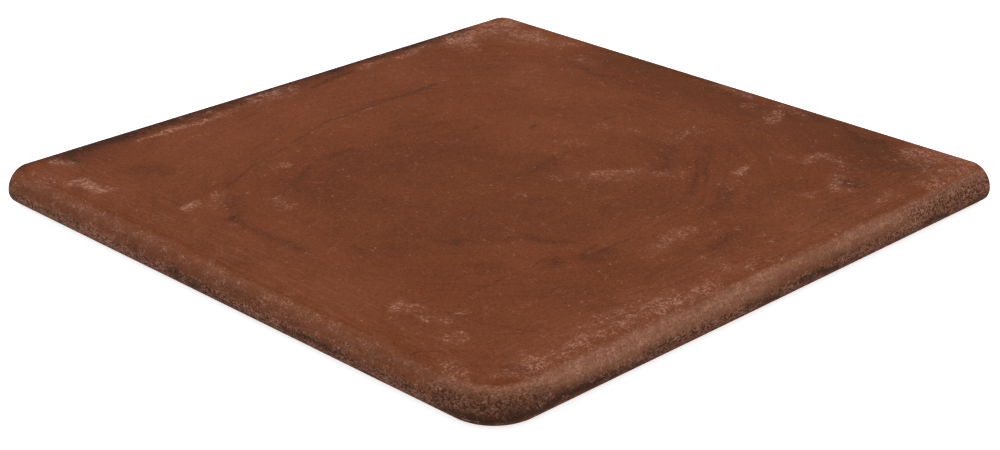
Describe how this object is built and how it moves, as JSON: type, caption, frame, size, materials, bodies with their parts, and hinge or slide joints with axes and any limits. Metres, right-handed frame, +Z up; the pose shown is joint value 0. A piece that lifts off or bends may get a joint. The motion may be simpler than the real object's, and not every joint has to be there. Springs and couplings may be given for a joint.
{
  "type": "corner stair tread tile",
  "caption": "Square fired clay tread tile for the outside corner of a stair, with rounded noses on two sides meeting in a rounded corner and keying pockets below.",
  "frame": {"origin": "middle of the underside", "axes": "+Z up through the tread face, +X and -Y towards the two noses, -X and +Y towards the two upright joint faces"},
  "size_m": [0.33, 0.33, 0.019],
  "materials": {
    "fired_clay": "matt"
  },
  "bodies": {
    "root": {"corner_tread": "fired_clay"}
  },
  "joints": []
}
